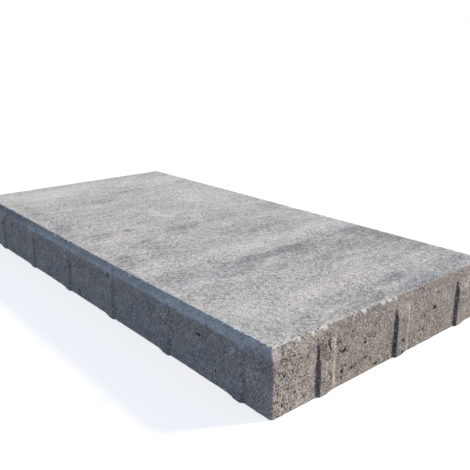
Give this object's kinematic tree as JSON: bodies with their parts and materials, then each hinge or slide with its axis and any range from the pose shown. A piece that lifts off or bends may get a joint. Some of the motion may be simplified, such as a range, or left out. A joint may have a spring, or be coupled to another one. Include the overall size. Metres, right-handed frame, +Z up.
{
  "type": "concrete paving slab",
  "caption": "Large rectangular concrete paving slab with a bevelled wearing face and upright spacer ribs cast on all four sides.",
  "frame": {"origin": "middle of the underside, on the surface that the slab lies on", "axes": "+X along the long side, +Y along the short side, +Z up out of the wearing face"},
  "size_m": [0.803, 0.403, 0.07],
  "materials": {
    "concrete": "matt pressed concrete, fine grain, mottled warm grey and blue grey"
  },
  "bodies": {
    "root": {"paving_slab": "concrete"}
  },
  "joints": []
}
